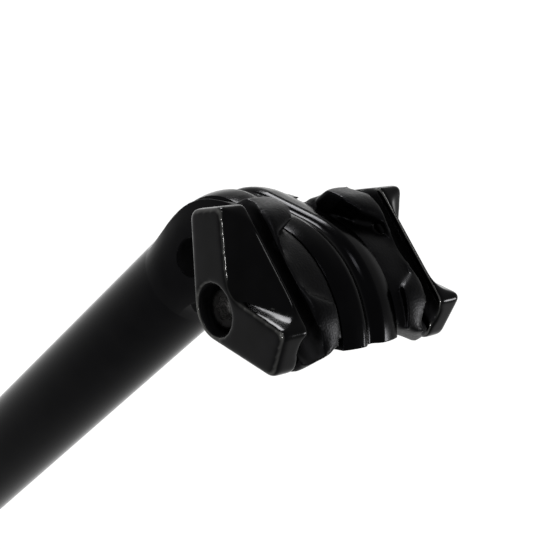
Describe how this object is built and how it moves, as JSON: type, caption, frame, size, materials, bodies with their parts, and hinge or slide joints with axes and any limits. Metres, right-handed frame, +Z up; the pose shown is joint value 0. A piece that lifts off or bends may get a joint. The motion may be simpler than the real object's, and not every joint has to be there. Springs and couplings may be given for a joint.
{
  "type": "bicycle seatpost",
  "caption": "Set-back bicycle seatpost: a round post with a forged head that carries a side-bolted, tilting saddle-rail clamp.",
  "frame": {"origin": "middle of the post's lower end", "axes": "+Z up along the post's axis, +X forward on the bicycle, +Y to the left, which is the side of the bolt's head"},
  "size_m": [0.0599, 0.0654, 0.3551],
  "materials": {
    "post_anodised": "satin black anodised",
    "jaw_satin": "blasted satin black anodised",
    "jaw_gloss": "polished black anodised",
    "bolt_steel": "black oxide"
  },
  "bodies": {
    "post": {"post": "post_anodised"},
    "clamp": {"left_inner_jaw": "jaw_satin", "right_inner_jaw": "jaw_satin", "left_outer_jaw": "jaw_gloss", "right_outer_jaw": "jaw_gloss", "clamp_bolt": "bolt_steel", "bolt_washer": "bolt_steel", "clamp_nut": "bolt_steel"}
  },
  "joints": [
    {"name": "saddle_tilt", "type": "hinge", "parent": "post", "child": "clamp", "pos_m": [-0.024, 0, 0.335], "axis": [0, 1, 0], "range_deg": [-15, 15]}
  ]
}
